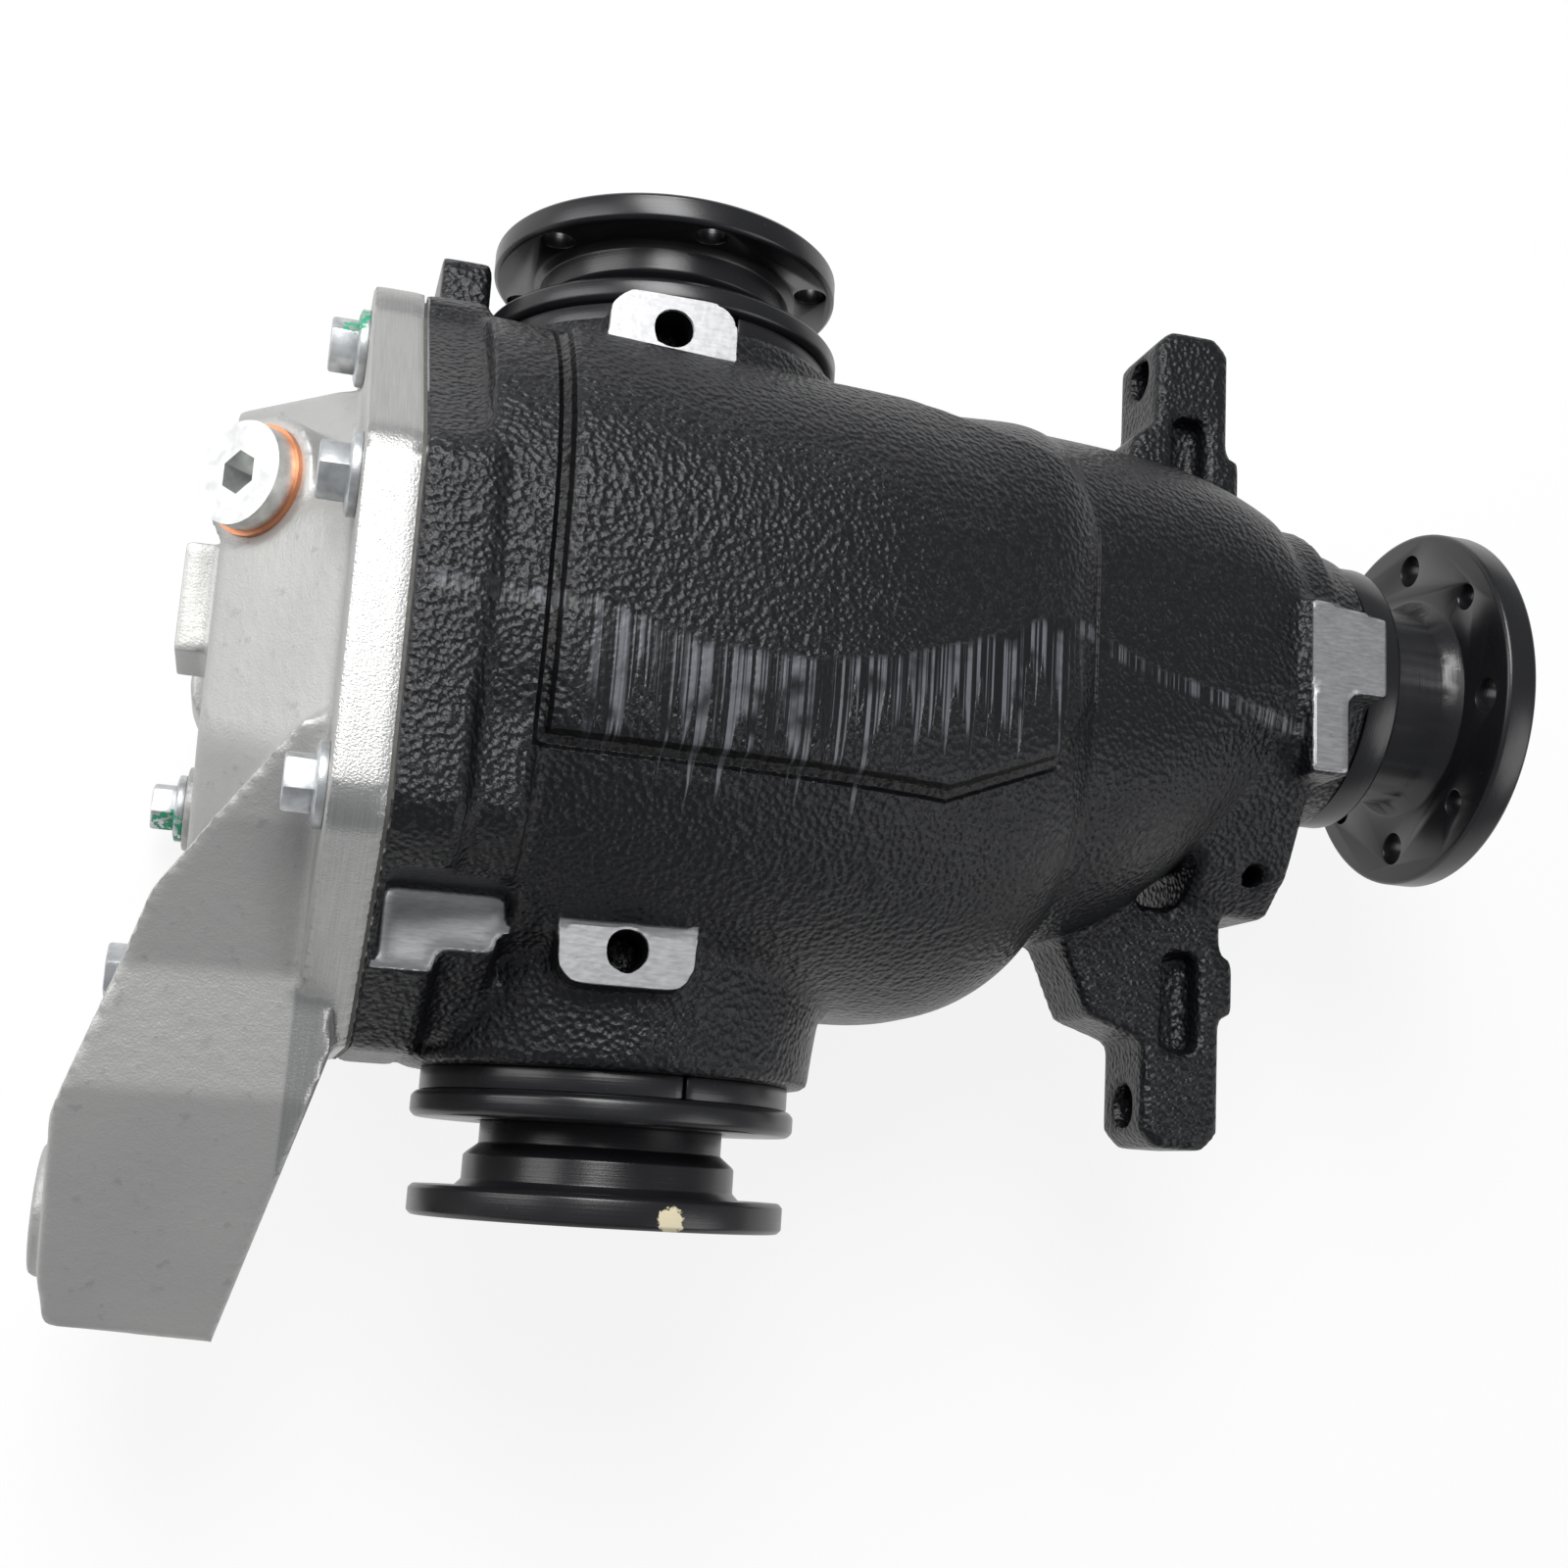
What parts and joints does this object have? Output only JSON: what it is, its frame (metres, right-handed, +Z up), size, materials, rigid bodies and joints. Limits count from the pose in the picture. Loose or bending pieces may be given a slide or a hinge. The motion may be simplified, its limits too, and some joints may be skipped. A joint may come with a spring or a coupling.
{
  "type": "rear differential",
  "caption": "Rear axle differential: black cast case, aluminium rear cover with mounting arm, round input flange, two output flanges and the working gears inside.",
  "frame": {"origin": "midpoint between the two front ear bolt holes, on the ears' front face", "axes": "+X forward along the pinion axis towards the input flange, +Y to the car's left along the axle, +Z up"},
  "size_m": [0.429, 0.338, 0.2181],
  "materials": {
    "case_paint": "semi-gloss black paint over rough cast iron",
    "cover_cast": "as-cast with a machined flange edge",
    "gasket_sheet": "thin fibre sheet",
    "zinc_bolt": "zinc plated",
    "zinc_plug": "zinc plated",
    "bright_steel": "ground",
    "gear_steel": "case-hardened, lapped teeth",
    "inner_iron": "bare, turned where it fits",
    "dark_bolt": "phosphated",
    "black_flange": "gloss black over turned steel",
    "black_ring": "gloss black over turned steel",
    "seal_rubber": "moulded",
    "copper": "soft copper"
  },
  "bodies": {
    "housing": {"case": "case_paint", "rear_cover": "cover_cast", "cover_gasket": "gasket_sheet", "cover_bolts": "zinc_bolt", "long_cover_bolts": "zinc_bolt", "cover_dowels": "bright_steel", "fill_plug": "zinc_plug", "fill_plug_washer": "copper", "drain_plug": "zinc_plug", "drain_plug_washer": "copper", "pinion_seal": "seal_rubber", "pinion_head_cup": "bright_steel", "pinion_tail_cup": "bright_steel", "left_bearing_carrier": "black_ring", "left_carrier_oring": "seal_rubber", "left_shim_ring": "black_ring", "left_output_seal": "seal_rubber", "left_bearing_cup": "bright_steel", "right_bearing_carrier": "black_ring", "right_carrier_oring": "seal_rubber", "right_shim_ring": "black_ring", "right_output_seal": "seal_rubber", "right_bearing_cup": "bright_steel"},
    "carrier": {"diff_carrier": "inner_iron", "ring_gear": "gear_steel", "ring_gear_bolts": "dark_bolt", "cross_pin": "bright_steel", "cross_pin_lock": "bright_steel", "spider_washers": "bright_steel", "left_side_washer": "bright_steel", "left_bearing_cone": "bright_steel", "left_bearing_rollers": "bright_steel", "right_side_washer": "bright_steel", "right_bearing_cone": "bright_steel", "right_bearing_rollers": "bright_steel"},
    "pinion": {"pinion_shaft": "gear_steel", "pinion_shim": "bright_steel", "crush_sleeve": "bright_steel", "pinion_head_cone": "bright_steel", "pinion_head_rollers": "bright_steel", "pinion_tail_cone": "bright_steel", "pinion_tail_rollers": "bright_steel", "input_flange": "black_flange", "dust_deflector": "black_flange", "pinion_nut": "zinc_plug"},
    "left_output": {"left_side_gear": "gear_steel", "left_output_shaft": "black_flange", "left_circlip": "bright_steel"},
    "right_output": {"right_side_gear": "gear_steel", "right_output_shaft": "black_flange", "right_circlip": "bright_steel"},
    "spider_1": {"spider_gear_1": "gear_steel"},
    "spider_2": {"spider_gear_2": "gear_steel"}
  },
  "joints": [
    {"name": "carrier_spin", "type": "hinge", "parent": "housing", "child": "carrier", "pos_m": [-0.191, 0.019, 0], "axis": [0, 1, 0], "continuous": true},
    {"name": "pinion_spin", "type": "hinge", "parent": "housing", "child": "pinion", "pos_m": [-0.191, 0.019, 0], "axis": [1, 0, 0], "continuous": true},
    {"name": "left_output_spin", "type": "hinge", "parent": "carrier", "child": "left_output", "pos_m": [-0.191, 0.019, 0], "axis": [0, 1, 0], "continuous": true},
    {"name": "right_output_spin", "type": "hinge", "parent": "carrier", "child": "right_output", "pos_m": [-0.191, 0.019, 0], "axis": [0, 1, 0], "continuous": true},
    {"name": "spider_1_spin", "type": "hinge", "parent": "carrier", "child": "spider_1", "pos_m": [-0.191, 0.011, 0], "axis": [1, 0, 0], "continuous": true},
    {"name": "spider_2_spin", "type": "hinge", "parent": "carrier", "child": "spider_2", "pos_m": [-0.191, 0.011, 0], "axis": [1, 0, 0], "continuous": true}
  ],
  "couplings": [
    {"joint": "pinion_spin", "follows": "carrier_spin", "ratio": 3.6364},
    {"joint": "right_output_spin", "follows": "left_output_spin", "ratio": -1},
    {"joint": "spider_1_spin", "follows": "left_output_spin", "ratio": -1.6},
    {"joint": "spider_2_spin", "follows": "left_output_spin", "ratio": 1.6}
  ]
}
